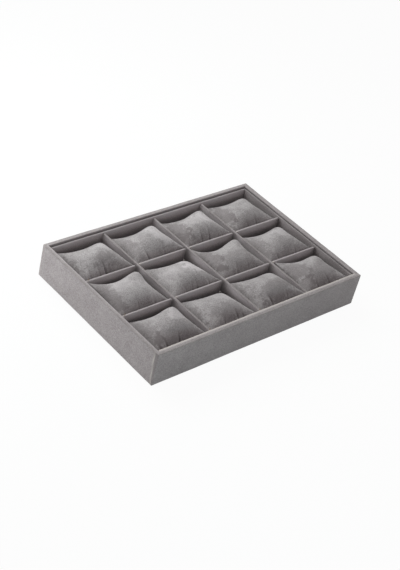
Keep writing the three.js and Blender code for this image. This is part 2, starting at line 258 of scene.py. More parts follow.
# Patches on each pillow, some where the pile has been brushed the other way and some painted shade, such as
# the dark strips along the left edges: in millimetres from each pillow's middle, the patch's place, its half
# sizes, its turn in degrees, and how much paler or darker it looks.
PILLOW_NAP_AND_SHADE = {
    "a1": ((-2, -20, 34, 14, 0, -0.42), (20, 4, 15, 12, 0, 0.36), (-34, 0, 13, 34, 0, -0.42)),
    "a2": ((2, -17, 24, 12, 0, -0.42), (-36, 6, 9, 14, 0, -0.50), (20, 6, 14, 12, 0, 0.24)),
    "a3": ((4, -13, 30, 14, 8, -0.55), (-8, 14, 24, 9, 0, -0.20), (-33, 0, 10, 26, 0, -0.25),
           (20, 6, 14, 12, 0, 0.16)),
    "a4": ((-3, 2, 28, 3, 35, 0.22), (-24, 6, 16, 18, 0, -0.55), (8, -10, 30, 16, 20, -0.45),
           (-27, -19, 13, 12, 0, -0.45)),
    "b1": ((-34, 0, 13, 34, 0, -0.60), (0, -22, 34, 12, 0, -0.10), (-8, 8, 18, 12, 0, 0.20),
           (22, 4, 12, 14, 0, 0.16)),
    "b2": ((4, -25, 30, 9, 0, -0.08), (-6, 2, 24, 10, 0, 0.20), (22, 2, 15, 15, 0, 0.58)),
    "b3": ((2, -14, 28, 14, 0, -0.38), (-30, 4, 12, 24, 0, -0.65),
           (-32, -22, 10, 10, 0, -0.40), (31, -14, 10, 10, 0, -0.40)),
    "b4": ((4, -14, 18, 10, -10, -0.30), (-12, 8, 14, 12, 0, 0.12), (-33, 0, 10, 28, 0, -0.55),
           (20, 4, 14, 14, 0, 0.32)),
    "c1": ((8, -13, 22, 9, 6, -0.55), (-4, 22, 22, 8, 0, -0.30), (24, 0, 11, 16, 0, 0.36),
           (-40, 0, 8, 36, 0, -0.55)),
    "c2": ((3, 0, 6, 4, 20, -0.35), (22, -3, 15, 20, 0, 0.42), (-32, 2, 11, 28, 0, -0.45)),
    "c3": ((-10, -17, 26, 9, -8, -0.30), (4, 4, 22, 11, 0, 0.28), (-30, 0, 13, 28, 0, -0.65),
           (24, 2, 12, 14, 0, 0.24)),
    "c4": ((-30, 4, 12, 26, 0, -0.60), (6, -20, 30, 12, 0, -0.35)),
}


# Colour and nodes

def linear(colour):
    """An sRGB hex value as linear red, green, blue and alpha."""
    shares = [int(colour[start:start + 2], 16) / 255 for start in (0, 2, 4)]
    return [s / 12.92 if s <= 0.04045 else ((s + 0.055) / 1.055) ** 2.4 for s in shares] + [1.0]


def node(tree, kind, inputs=None, **settings):
    """Adds a node with its settings. An input is a value, or another node's output to link."""
    made = tree.nodes.new(kind)
    for name, value in settings.items():
        setattr(made, name, value)
    for socket, value in (inputs or {}).items():
        if isinstance(value, bpy.types.NodeSocket):
            tree.links.new(value, made.inputs[socket])
        else:
            made.inputs[socket].default_value = value
    return made


def blank_material(name):
    """A new material and its empty node tree."""
    material = bpy.data.materials.new(name)
    material.use_nodes = True
    material.node_tree.nodes.clear()
    return material, material.node_tree


# Inputs and output of the Mix node when it mixes colours
MIX_A, MIX_B, MIX_RESULT = 6, 7, 2

# The pile's grain is drawn a little coarser than its fibre tufts, so that it shows at this distance.
PILE_GRAIN = 1.3 * MM
# Pale tan of worn pile at the seams, cut edges and frayed ends, also used for painted highlight along the
# rims' bends
WEAR_AND_HIGHLIGHT_PALE = "cbc2bc"
# Pile brushed the other way shows its dark roots where it leans towards the eye, and its bright sides where
# it leans away. These two colours also paint shade and light: painted shade in corners, low down, in creases,
# over the lap and over some tops, and painted highlight on tops, rim edges and some faces.
DARK_NAP_AND_SHADE = "7b7374"
PALE_NAP_AND_LIGHT = "d0c7ca"


def velvet(name, dark, light, nap_size, nap_share, grain_depth):
    """Polyester velvet, knitted with a short shorn pile. The pile lies this way and that, so the cloth shows
    soft lighter and darker patches, a fine grain, and a pale bloom where it turns away from the eye. Tones
    from the mesh add painted shade and highlight to the brushed nap, the wear and the frayed ends."""
    material, tree = blank_material(name)
    where = node(tree, "ShaderNodeTexCoord").outputs["Object"]
    nap = node(tree, "ShaderNodeTexNoise",
               {"Vector": where, "Scale": 1 / nap_size, "Detail": 5.0, "Roughness": 0.6, "Distortion": 0.3})
    lay = node(tree, "ShaderNodeMapRange",
               {"Value": nap.outputs["Fac"], "From Min": 0.30, "From Max": 0.70, "To Max": nap_share},
               interpolation_type="SMOOTHSTEP")
    grain = node(tree, "ShaderNodeTexNoise",
                 {"Vector": where, "Scale": 1 / PILE_GRAIN, "Detail": 2.0, "Roughness": 0.6})
    tuft = node(tree, "ShaderNodeMapRange",
                {"Value": grain.outputs["Fac"], "From Min": 0.35, "From Max": 0.65, "To Max": 1 - nap_share})
    tone = node(tree, "ShaderNodeMath",
                {0: lay.outputs["Result"], 1: tuft.outputs["Result"]}, operation="ADD")
    colour = node(tree, "ShaderNodeMix",
                  {0: tone.outputs[0], MIX_A: linear(dark), MIX_B: linear(light)}, data_type="RGBA")
    # Painted shade and highlight from the mesh, with brushed nap: below 0 towards the dark colour, above 0
    # towards the pale one
    nap_and_painted_light = node(tree, "ShaderNodeAttribute", attribute_name="nap_and_painted_light").outputs["Fac"]
    away = node(tree, "ShaderNodeMath", {0: nap_and_painted_light, 1: -1.0}, operation="MULTIPLY")
    darker = node(tree, "ShaderNodeMix",
                  {0: away.outputs[0], MIX_A: colour.outputs[MIX_RESULT], MIX_B: linear(DARK_NAP_AND_SHADE)},
                  data_type="RGBA")
    paler = node(tree, "ShaderNodeMix",
                 {0: nap_and_painted_light, MIX_A: darker.outputs[MIX_RESULT], MIX_B: linear(PALE_NAP_AND_LIGHT)}, data_type="RGBA")
    # Wear from the mesh, with painted highlight along the rims' bends
    wear_and_painted_highlight = node(tree, "ShaderNodeAttribute", attribute_name="wear_and_painted_highlight").outputs["Fac"]
    edge = node(tree, "ShaderNodeMix",
                {0: wear_and_painted_highlight, MIX_A: paler.outputs[MIX_RESULT], MIX_B: linear(WEAR_AND_HIGHLIGHT_PALE)}, data_type="RGBA")
    bump = node(tree, "ShaderNodeBump",
                {"Strength": 0.5, "Distance": grain_depth, "Height": grain.outputs["Fac"]})
    shader = node(tree, "ShaderNodeBsdfPrincipled",
                  {"Base Color": edge.outputs[MIX_RESULT], "Normal": bump.outputs["Normal"],
                   "Roughness": 0.92, "IOR": 1.45, "Specular IOR Level": 0.15,
                   "Sheen Weight": 0.22, "Sheen Roughness": 0.45})
    node(tree, "ShaderNodeOutputMaterial", {"Surface": shader.outputs[0]})
    return material


def speckled(name, dark, light, fleck_size, stretch, roughness, depth):
    """Pressed or bonded fibre seen close: two tones in flecks of one size, drawn out along X by stretch."""
    material, tree = blank_material(name)
    where = node(tree, "ShaderNodeTexCoord").outputs["Object"]
    drawn = node(tree, "ShaderNodeMapping", {"Vector": where, "Scale": (1 / stretch, 1.0, 1.0)})
    fleck = node(tree, "ShaderNodeTexNoise",
                 {"Vector": drawn.outputs[0], "Scale": 1 / fleck_size, "Detail": 4.0, "Roughness": 0.65})
    tone = node(tree, "ShaderNodeMapRange", {"Value": fleck.outputs["Fac"], "From Min": 0.3, "From Max": 0.7})
    colour = node(tree, "ShaderNodeMix",
                  {0: tone.outputs["Result"], MIX_A: linear(dark), MIX_B: linear(light)}, data_type="RGBA")
    bump = node(tree, "ShaderNodeBump", {"Strength": 0.4, "Distance": depth, "Height": fleck.outputs["Fac"]})
    shader = node(tree, "ShaderNodeBsdfPrincipled",
                  {"Base Color": colour.outputs[MIX_RESULT], "Normal": bump.outputs["Normal"],
                   "Roughness": roughness, "IOR": 1.5, "Specular IOR Level": 0.2})
    node(tree, "ShaderNodeOutputMaterial", {"Surface": shader.outputs[0]})
    return material


tray_velvet = velvet("polyester velvet, glued taut", "8b8283", "b3aaab", 30 * MM, 0.25, 0.25 * MM)
pillow_velvet = velvet("polyester velvet, sewn and stuffed", "847d7e", "bab3b4", 15 * MM, 0.34, 0.25 * MM)
# Medium density fibreboard, pressed: brown, with short flecks along the sheet.
fibreboard = speckled("medium density fibreboard, sanded", "8f7350", "b7986c", 0.9 * MM, 2.0, 0.8, 0.05 * MM)
# Greyboard, pressed from waste paper: grey, with pale and dark flecks.
greyboard = speckled("recycled greyboard, pressed", "857f76", "a8a298", 0.8 * MM, 1.5, 0.9, 0.04 * MM)
# Polypropylene felt, heat bonded: matt dark grey, with a lay of fibres.
bonded_felt = speckled("polypropylene felt, heat bonded", "3f3d3d", "565353", 1.4 * MM, 3.0, 1.0, 0.12 * MM)
# Polyester stuffing, carded: white, in loose soft tufts.
carded_fibre = speckled("polyester stuffing, carded", "dcdad4", "f6f4f0", 3.5 * MM, 1.3, 1.0, 0.6 * MM)
# Polyester sewing thread, twisted: a shade darker than the velvet.
sewing_thread = speckled(
    "polyester sewing thread, twisted", "6f6a69", "8d8887", 0.3 * MM, 1.0, 0.7, 0.03 * MM)
# Polyester ground yarn of the velvet, frayed where it was cut: pale tan, with loose darker fibres.
ground_yarn = speckled("polyester ground yarn, frayed", "a58f7c", "c3b09d", 0.4 * MM, 1.0, 0.9, 0.03 * MM)


# Meshes

class Sheet:
    """Gathers points and faces for one piece, and two tones at each point: how much wear the pile shows, with
    painted highlight along the rims added in, and how much paler or darker it looks, from nap brushed the
    other way and from painted light and shade."""

    def __init__(self):
        self.points = []
        self.faces = []
        self.wear_and_painted_highlight = []
        self.nap_and_painted_light = []

    def grid(self, rows, wear_and_painted_highlight=None, nap_and_painted_light=None):
        """Adds a grid of points: rows run one way, and the face normals are row direction times column."""
        start = len(self.points)
        high, wide = len(rows), len(rows[0])
        self.points += [tuple(point) for row in rows for point in row]
        self.wear_and_painted_highlight += [0.0] * (high * wide) if wear_and_painted_highlight is None else [w for row in wear_and_painted_highlight for w in row]
        self.nap_and_painted_light += [0.0] * (high * wide) if nap_and_painted_light is None else [s for row in nap_and_painted_light for s in row]

        def at(row, column):
            return start + row * wide + column

        self.faces += [(at(r, c), at(r, c + 1), at(r + 1, c + 1), at(r + 1, c))
                       for r in range(high - 1) for c in range(wide - 1)]
        return [[at(r, c) for c in range(wide)] for r in range(high)]

    def piece(self, name, material):
        """Makes a smooth object of the points and faces."""
        mesh = bpy.data.meshes.new(name)
        mesh.from_pydata(self.points, [], self.faces)
        for pile, values in (("wear_and_painted_highlight", self.wear_and_painted_highlight), ("nap_and_painted_light", self.nap_and_painted_light)):
            layer = mesh.attributes.new(pile, "FLOAT", "POINT")
            layer.data.foreach_set("value", np.array(values, np.float32))
        mesh.polygons.foreach_set("use_smooth", [True] * len(mesh.polygons))
        mesh.materials.append(material)
        mesh.update()
        made = bpy.data.objects.new(name, mesh)
        bpy.context.scene.collection.objects.link(made)
        return made


def rounded_path(corners, step):
    """An open path through corners, each (x, z) or (x, z, radius), with arcs and evenly split straights."""
    pieces = []
    for index, corner in enumerate(corners):
        here = np.array(corner[:2])
        radius = corner[2] if len(corner) > 2 else 0.0
        if radius == 0.0:
            pieces.append([here])
            continue
        back = np.array(corners[index - 1][:2]) - here
        ahead = np.array(corners[index + 1][:2]) - here
        back, ahead = back / np.linalg.norm(back), ahead / np.linalg.norm(ahead)
        centre = here + radius * (back + ahead)
        turns = np.linspace(0, math.pi / 2, ARC_STEPS + 1)
        pieces.append([centre - radius * (ahead * math.cos(t) + back * math.sin(t)) for t in turns])
    path = list(pieces[0])
    for run in pieces[1:]:
        gap = run[0] - path[-1]
        count = max(1, round(np.linalg.norm(gap) / step))
        path += [path[-1] + gap * k / count for k in range(1, count)] + list(run)
    return np.array(path)


def path_normals(path):
    """Unit normals to the left of a path's run."""
    run = np.gradient(path, axis=0)
    normals = np.stack([-run[:, 1], run[:, 0]], axis=1)
    return normals / np.linalg.norm(normals, axis=1, keepdims=True)


def wave(point):
    """How far glued cloth stands off its board at a point: a slow wave and a small ripple."""
    slow = noise.noise(Vector(point) / WAVE_LENGTH)
    small = noise.noise(Vector(point) / RIPPLE_LENGTH)
    return WAVE_HEIGHT * slow + RIPPLE_HEIGHT * small


def thicken(piece, thickness):
    """Gives a cloth surface its thickness, on the side away from its normals."""
    made = piece.modifiers.new("thickness", "SOLIDIFY")
    made.thickness = thickness
    made.offset = -1.0


def hand_over(piece, body, slot, *nodes):
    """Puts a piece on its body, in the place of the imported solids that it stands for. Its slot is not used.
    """
    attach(piece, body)
    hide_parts(*nodes)


# Walls: velvet over the four boards, mitred at the corners

# For each wall, the directions along it and inward from its outer face
WALLS = {
    "front": (Vector((1, 0, 0)), Vector((0, 1, 0))),
    "right": (Vector((0, 1, 0)), Vector((-1, 0, 0))),
    "back": (Vector((-1, 0, 0)), Vector((0, -1, 0))),
    "left": (Vector((0, -1, 0)), Vector((1, 0, 0))),
}
CORNER_STEPS = [0, 0.3, 0.7, 1.2, 1.7, 2.3, 3.2, 4.6, 6.4]


def along_stations(half_length):
    """Shares of a wall's half length, close together at the corners."""
    ends = [1 - step * MM / half_length for step in CORNER_STEPS]
    count = math.ceil(2 * half_length * ends[-1] / CLOTH_STEP)
    middle = np.linspace(-ends[-1], ends[-1], count + 1)
    return np.concatenate([[-e for e in ends[:-1]], middle, ends[-2::-1]])


def round_corner(from_end, inward, radius):
    """Moves a point near an upright edge onto the edge's round, for its distances from the outer faces."""
    reach = radius - inward
    if reach <= 0 or from_end >= radius:
        return from_end, inward
    turn = math.pi / 4 * (radius - from_end) / reach
    return radius - reach * math.sin(turn), radius - reach * math.cos(turn)


def lap_over(past_edge):
    """How far the front wall's velvet, lapped round the front left corner, covers a point of the left wall,
    and how near the point is to the lap's cut edge. past_edge is how far it lies beyond that edge."""
    covered = min(1.0, max(0.0, 0.5 - past_edge / LAP_EDGE))
    return covered, math.exp(-(past_edge / LAP_LINE) ** 2)


def rim_look(wall, deep, inside, below_rim):
    """How the pile looks on one line along a wall: how near the rim's outer bend it is, its painted highlight
    on the outer bend and the inner edge, and the painted highlight and shade along the rim's inner edge."""
    outer_highlight, inner_highlight, _, pale_edge, line_width = RIM_TONES[wall]
    line_place, shade_width, shade_below = LEFT_INNER_EDGE if wall == "left" else INNER_EDGE
    under_bend = (below_rim - BEND_DEPTH) ** 2
    outer_bend = math.exp(-((deep - BEND_DEPTH) ** 2 + under_bend) / BEND_LINE ** 2)
    inner_edge = math.exp(-((inside - line_place - deep) ** 2 + under_bend) / line_width ** 2)
    # Painted highlight on the outer bend and along the inner edge, and painted shade on the cloth inside the
    # inner edge
    rim_highlight = inner_highlight * inner_edge * math.exp(-(below_rim / INNER_HIGHLIGHT_DEPTH) ** 2)
    shaded = RIM_SHADE if deep > inside - shade_width and below_rim > shade_below else 0.0
    return outer_bend, outer_highlight * outer_bend + rim_highlight, pale_edge * inner_edge - shaded


def wall_velvet(wall):
    """A wall's wrap: turned under the foot, up the outside, over the rim and down inside."""
    along, inward = WALLS[wall]
    low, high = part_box(f"{wall}_wall_wrap")
    thickness = abs((high - low).dot(inward))
    half_length = abs((cad_high - cad_low).dot(along)) / 2
    half_depth = abs((cad_high - cad_low).dot(inward)) / 2
    foot_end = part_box("base_board")[1].dot(Vector(map(abs, inward)))
    board_inside = half_depth - abs(foot_end)
    inner_radius = LEFT_RIM_RADIUS if wall == "left" else RIM_RADIUS
    roll = RIM_ROLL.get(wall, 0.0)
    inside = thickness + roll
    rolled_under = [(inside, high.z - RIM_ROLL_DROP), (thickness, high.z - RIM_ROLL_DROP)] if roll else []
    path = rounded_path([
        (board_inside, low.z),
        (0, low.z, FOOT_RADIUS),
        (0, high.z, RIM_RADIUS),
        (inside, high.z, inner_radius),
        *rolled_under,
        (thickness, high.z - TURN_IN),
    ], CLOTH_STEP)
    bend_darkening = RIM_TONES[wall][2]
    rows, wear_and_painted_highlight, nap_and_painted_light = [], [], []
    for (deep, up), (out_deep, out_up) in zip(path, path_normals(path)):
        row, wear_and_rim_highlight, tone_shift = [], [], []
        below_rim = high.z - up
        outer_bend, rim_highlight, inner_edge_tone = rim_look(wall, deep, inside, below_rim)
        mitre = min(deep, thickness)
        on_face = min(1.0, below_rim / RIM_RADIUS)
        lap_width = LAP_FOOT + (LAP_RIM - LAP_FOOT) * up / high.z
        for share in along_stations(half_length):
            side = math.copysign(1, share)
            from_end = half_length - abs(share) * (half_length - mitre)
            at = along * (side * (half_length - from_end)) + inward * (deep - half_depth) + Vector((0, 0, up))
            from_seam = from_end - mitre
            seam = math.exp(-(from_seam / SEAM_RIDGE_WIDTH) ** 2) if deep < thickness / 2 else 0.0
            lift = wave(at) + SEAM_RIDGE * seam
            radius = SOFT_CORNER_RADIUS if at.x > 0 and at.y < 0 else CORNER_RADIUS
            end, depth = round_corner(from_end + out_deep * lift, deep + out_deep * lift, radius)
            place = along * (side * (half_length - end)) + inward * (depth - half_depth)
            row.append(place + Vector((0, 0, up + out_up * lift)))
            at_lap = at.x < 0 and at.y < 0
            lapped, lap_edge = lap_over(from_end - lap_width) if at_lap and wall == "left" else (0.0, 0.0)
            edge_wear = LAP_WEAR * on_face * lap_edge if at_lap else SEAM_WEAR * seam
            # Painted highlight along the rim's bends, and wear at the mitre seams and the lap's cut edge
            wear_and_rim_highlight.append(min(1.0, rim_highlight + edge_wear))
            # A darker ragged line along the outer bend
            bend_line_and_crease_tone = bend_darkening * outer_bend * (1 + noise.noise(at / RAGGED_BEND_LENGTH))
            # Painted highlight and shade along the inner edge, and painted shade over the lap
            tone_shift.append(inner_edge_tone - bend_line_and_crease_tone + LAP_SHADE * on_face * lapped)
        rows.append(row)
        wear_and_painted_highlight.append(wear_and_rim_highlight)
        nap_and_painted_light.append(tone_shift)
    sheet = Sheet()
    sheet.grid(rows, wear_and_painted_highlight, nap_and_painted_light)
    piece = sheet.piece(f"{wall}_wall_velvet", tray_velvet)
    thicken(piece, CLOTH)
    hand_over(piece, TRAY, "tray_velvet", f"{wall}_wall_wrap")


# Strips: velvet folded over the liner cards and the divider cards

def strip_painted_light(top_light, face_light=0.0, shade_at=()):
    """Light and shade painted on a folded strip. The first value is the painted highlight over the top, shade
    where it is below 0, and the second is the painted light on one face, whose side is its sign. Shade is
    painted where another piece stands against the strip, at each place along it in the third value with its
    half width, and low down in the compartment."""
    def tone_shift(along, face, below_top):
        near_top = math.exp(-below_top / TOP_LIGHT_FADE)
        face_lit = abs(face_light) * math.exp(-below_top / FACE_LIGHT_FADE) if face * face_light > 0 else 0.0
        beside = [max(0.0, abs(along - place) - wide) for place, wide in shade_at]
        corner_shade = math.exp(-min(beside) / CORNER_SHADE_FADE) if beside else 0.0
        low = 1 - math.exp(-(below_top / LOW_SHADE_DEPTH) ** 4)
        lit = (top_light * near_top + face_lit * (1 - near_top)) * (1 - low) + LOW_SHADE * low
        return lit * (1 - corner_shade) - corner_shade * (1 - near_top)
    return tone_shift


def add_strip(sheet, place, start, end, bottom, top, half, radius, pile=strip_painted_light(0.0), nose=0.0):
    """One stretch of folded velvet along a line, from start to end, as an inverted U with closed ends.
    place turns (along, across, up) into a point. With a nose, the ends are rounded as well."""
    section = [(-half, bottom), (-half, top, radius), (half, top, radius), (half, bottom)]
    path = rounded_path(section, CLOTH_STEP)
    normals = path_normals(path)
    count = max(2, math.ceil((end - start) / CLOTH_STEP))
    stations = list(np.linspace(start, end, count + 1))
    if nose:
        near = [step * nose for step in NOSE_STEPS]
        inner = np.linspace(start + nose, end - nose, count + 1)
        stations = [start + n for n in near] + list(inner) + [end - n for n in reversed(near)]
    rows, wear_and_painted_highlight, nap_and_painted_light = [], [], []
    for (across, up), (out_across, out_up) in zip(path, normals):
        row = []
        nap_and_painted_light.append([pile(along, out_across, top - up) for along in stations])
        wear_and_painted_highlight.append([math.exp((up - top) / FRAYED_END + (start - along) / FRAYED_END) for along in stations])
        for along in stations:
            shrink = 0.0
            if nose:
                from_tip = min(along - start, end - along, nose) / nose
                shrink = nose * NOSE_TAPER * (1 - math.sqrt(1 - (1 - from_tip) ** 2))
            lift = wave(place(along, across, up)) - shrink
            row.append(place(along, across + out_across * lift, up + out_up * lift))
        rows.append(row)
    ids = sheet.grid(rows, wear_and_painted_highlight, nap_and_painted_light)
    for column, order in ((0, 1), (-1, -1)):
        left = [row[column] for row in ids]
        for k in range(len(left) // 2 - 1):
            quad = (left[k], left[k + 1], left[-k - 2], left[-k - 1])
            sheet.faces.append(quad[::order])
    return ids


def strip_piece(sheet, name, cad_nodes):
    piece = sheet.piece(name, tray_velvet)
    thicken(piece, CLOTH)
    hand_over(piece, TRAY, "tray_velvet", *cad_nodes)


def liner_velvet(wall, row_lines):
    """A liner's cover. The long dividers, at row_lines, stand against the right liner, and shade is painted
    on it there.
    """
    low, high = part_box(f"{wall}_liner_velvet")
    middle = (low + high) / 2
    runs_x = wall in ("front", "back")
    place = along_x(middle.y) if runs_x else along_y(middle.x)
    start, end = (low.x, high.x) if runs_x else (low.y, high.y)
    half = (high.y - low.y if runs_x else high.x - low.x) / 2
    face_light = BACK_LINER_FACE_LIGHT if wall == "back" else 0.0
    shade_at = [(y, half) for y in row_lines] if wall == "right" else ()
    # Painted highlight on the top, painted shade instead on the right liner's top, painted light on the back
    # liner's face, and painted shade where the long dividers stand against the right liner
    pile = strip_painted_light(LINER_TOP_LIGHT[wall], face_light, shade_at)
    sheet = Sheet()
    add_strip(sheet, place, start, end, low.z, high.z, half, STRIP_RADIUS, pile)
    strip_piece(sheet, f"{wall}_liner_fold", [f"{wall}_liner_velvet"])


def along_x(y):
    """Turns (along, across, up) into a point on a line along X."""
    return lambda along, across, up: Vector((along, y + across, up))


def along_y(x):
    """Turns (along, across, up) into a point on a line along Y."""
    return lambda along, across, up: Vector((x - across, along, up))


def divider_velvet(name, runs_x, crossings):
    """A divider's cover. Those along X are slotted from above, and each of their stretches stops a little
    short of the divider on its right. Those along Y are slotted from below."""
    low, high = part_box(f"{name}_velvet")
    middle = (low + high) / 2
    place = along_x(middle.y) if runs_x else along_y(middle.x)
    start, end = (low.x, high.x) if runs_x else (low.y, high.y)
    half = (high.y - low.y if runs_x else high.x - low.x) / 2
    slot = half + SLOT_CLEARANCE
    lap = middle.z
    short = END_GAP if runs_x else 0.0
    stops = [start] + [c + step for c in crossings for step in (-slot - short, slot)] + [end]
    stretches = list(zip(stops[::2], stops[1::2]))
    bridges = list(zip(stops[1:-1:2], stops[2:-1:2]))
    sheet = Sheet()
    if runs_x:
        for first, last in stretches:
            # Painted highlight on the top, painted light on the front face, and painted shade where each
            # stretch ends by a cross divider
            pile = strip_painted_light(*LONG_DIVIDER_LIGHT, [(last, 0.0)])
            add_strip(sheet, place, first, last, low.z, high.z, half, DIVIDER_RADIUS, pile, DIVIDER_NOSE)
        for first, last in bridges:
            add_strip(sheet, place, first, last, low.z, lap - SLOT_CLEARANCE / 2, half, STRIP_RADIUS)
        divider_card(name, place, stretches, bridges, lap - SLOT_CLEARANCE / 2 - CLOTH)
    else:
        upper = lap + SLOT_CLEARANCE / 2
        # Painted shade on the top, painted light on the left face, and painted shade at the crossings
        pile = strip_painted_light(*CROSS_DIVIDER_LIGHT, [(c, slot) for c in crossings])
        add_strip(sheet, place, start, end, upper, high.z, half, DIVIDER_RADIUS, pile)
        for first, last in stretches:
            add_strip(sheet, place, first, last, low.z, upper, half, STRIP_RADIUS)
    strip_piece(sheet, f"{name}_fold", [f"{name}_velvet"])


def divider_card(name, place, stretches, bridges, bridge_top):
    """The card inside a divider along X, in its cover's stretches, with the cover's ends round it."""
    low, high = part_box(f"{name}_card")
    half = (high.y - low.y) / 2
    sheet = Sheet()
    boards = [(first + CARD_INSET, last - CARD_INSET, high.z) for first, last in stretches]
    boards += [(first - CARD_INSET, last + CARD_INSET, bridge_top) for first, last in bridges]
    for first, last, top in boards:
        ids = add_strip(sheet, place, first, last, low.z, top, half, CARD_EDGE)
        sheet.faces.append(tuple(ids[0]) + tuple(reversed(ids[-1])))
    piece = sheet.piece(f"{name}_board", greyboard)
    hand_over(piece, TRAY, "greyboard", f"{name}_card")


# Flat cloth: the floor pad's velvet and the felt under the base

def flat_cloth(name, cad_node, material, slot, faces_up):
    """Cloth glued flat on a card or board, with the small waves that the glue leaves."""
    low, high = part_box(cad_node)
    side = 1 if faces_up else -1
    level = (high.z if faces_up else low.z) - side * FLAT_DIP
    long, deep = high.x - low.x, high.y - low.y
    across = np.linspace(low.x, high.x, math.ceil(long / FLAT_STEP) + 1)[::side]
    back = np.linspace(low.y, high.y, math.ceil(deep / FLAT_STEP) + 1)
    sheet = Sheet()
    rows = [[(x, y, level + FLAT_WAVE * wave((x, y, level))) for x in across] for y in back]
    # Painted shade over the whole cloth, the same as low down on the strips
    sheet.grid(rows, None, [[LOW_SHADE] * len(across) for _ in back])
    piece = sheet.piece(name, material)
    thicken(piece, FLAT_CLOTH)
    hand_over(piece, TRAY, slot, cad_node)


# Pillows: two panels of velvet sewn together and blown up by a cloth simulation

class Panels:
    """The grid of a pillow's two panels, which share the points of their edge: the point numbers of the upper
    and the lower panel, the faces, and each point's share of the way across and deep, from -1 to 1."""

    def __init__(self, long, wide):
        self.upper = np.arange((long + 1) * (wide + 1)).reshape(long + 1, wide + 1)
        self.lower = self.upper.copy()
        inner = np.arange((long - 1) * (wide - 1)).reshape(long - 1, wide - 1)
        self.lower[1:-1, 1:-1] = self.upper.size + inner
        self.count = int(self.lower.max()) + 1
        self.faces = []
        for i in range(long):
            for j in range(wide):
                for panel, order in ((self.upper, 1), (self.lower, -1)):
                    corners = panel[i, j], panel[i + 1, j], panel[i + 1, j + 1], panel[i, j + 1]
                    self.faces.append(tuple(map(int, corners[::order])))
        self.across, self.deep = np.meshgrid(np.linspace(-1, 1, long + 1), np.linspace(-1, 1, wide + 1),
                                             indexing="ij")

    def points(self, upper, lower):
        """One list of points from the two panels' grids."""
        joined = np.zeros((self.count, 3))
        joined[self.lower] = lower
        joined[self.upper] = upper
        return joined


SEWN = Panels(CELLS_LONG, CELLS_WIDE)
SHOWN = Panels(2 * CELLS_LONG, 2 * CELLS_WIDE)


def finer(grid):
    """A grid with a point added between each two, on a smooth curve, along one way and then the other."""
    for _ in range(2):
        ends = np.concatenate([[2 * grid[0] - grid[1]], grid, [2 * grid[-1] - grid[-2]]])
        between = (9 * (ends[1:-2] + ends[2:-1]) - ends[:-3] - ends[3:]) / 16
        doubled = np.zeros((2 * len(grid) - 1, *grid.shape[1:]))
        doubled[::2], doubled[1::2] = grid, between
        grid = doubled.swapaxes(0, 1)
    return grid


def corner_plane(panels, corners):
    """Height over the panel of the surface between four corner heights."""
    across, deep = panels.across, panels.deep
    front_left, front_right, back_right, back_left = (c * MM for c in corners)
    front = (1 - across) / 2 * front_left + (1 + across) / 2 * front_right
    back = (1 - across) / 2 * back_left + (1 + across) / 2 * back_right
    return (1 - deep) / 2 * front + (1 + deep) / 2 * back


def seam_height(panels, corners, back_middle):
    """Height over the panel of the surface through the seam, which sags between the corners."""
    across, deep = panels.across, panels.deep
    long_arch, short_arch = 1 - across ** 2, 1 - deep ** 2
    to_front, to_back = ((1 - deep) / 2) ** 2, ((1 + deep) / 2) ** 2
    to_left, to_right = ((1 - across) / 2) ** 2, ((1 + across) / 2) ** 2
    back_sag = back_middle * MM - (corners[2] + corners[3]) / 2 * MM
    height = corner_plane(panels, corners) + back_sag * long_arch * to_back
    return height - FRONT_SAG * long_arch * to_front - SIDE_SAG * short_arch * (to_left + to_right)


def gathers(half_long, half_wide, rng):
    """Small folds that start at the seams and die away inward."""
    x, y = SEWN.across * half_long, SEWN.deep * half_wide
    folds = np.zeros_like(x)
    for run, away in ((x, y + half_wide), (x, half_wide - y), (y, x + half_long), (y, half_long - x)):
        rising = 1 - np.exp(-away / GATHER_RISE)
        for length in rng.uniform(*GATHER_LENGTHS_MM, 2) * MM:
            waves = np.sin(2 * math.pi * run / length + rng.uniform(0, 2 * math.pi))
            folds += GATHER_HEIGHT * rising * np.exp(-away / GATHER_REACH) * waves
    return folds


def blow_up(start, cut, name):
    """Simulates the sewn panels: from the shape start, with the spring lengths of the flat cut, under
    pressure, with the four corners held. Returns the points."""
    mesh = bpy.data.meshes.new(name)
    mesh.from_pydata((start * SIM_SCALE).tolist(), [], SEWN.faces)
    made = bpy.data.objects.new(name, mesh)
    bpy.context.scene.collection.objects.link(made)
    made.shape_key_add(name="start")
    rest = made.shape_key_add(name="cut")
    rest.data.foreach_set("co", (cut * SIM_SCALE).astype(np.float32).ravel())
    rest.value = 0.0
    held = made.vertex_groups.new(name="corners")
    held.add([int(SEWN.upper[i, j]) for i in (0, -1) for j in (0, -1)], 1.0, "REPLACE")
    cloth = made.modifiers.new("cloth", "CLOTH")
    cloth.settings.quality = SIM_QUALITY
    cloth.settings.mass = SIM_MASS
    cloth.settings.air_damping = SIM_AIR
    cloth.settings.tension_stiffness = SIM_TENSION
    cloth.settings.compression_stiffness = SIM_COMPRESSION
    cloth.settings.shear_stiffness = SIM_SHEAR
    cloth.settings.bending_stiffness = SIM_BENDING
    cloth.settings.use_pressure = True
    cloth.settings.uniform_pressure_force = SIM_PRESSURE
    cloth.settings.vertex_group_mass = held.name
    cloth.settings.pin_stiffness = SIM_PIN
    cloth.settings.rest_shape_key = rest
    cloth.settings.effector_weights.gravity = 0.0
    cloth.collision_settings.use_collision = False
    cloth.point_cache.frame_start = 1
    cloth.point_cache.frame_end = SIM_FRAMES
    for step in range(1, SIM_FRAMES + 1):
        bpy.context.scene.frame_set(step)
    blown = made.evaluated_get(bpy.context.evaluated_depsgraph_get()).to_mesh()
    points = np.zeros(SEWN.count * 3, np.float32)
    blown.vertices.foreach_get("co", points)
    bpy.data.objects.remove(made)
    bpy.data.meshes.remove(mesh)
    bpy.context.scene.frame_set(1)
    return points.reshape(-1, 3).astype(float) / SIM_SCALE


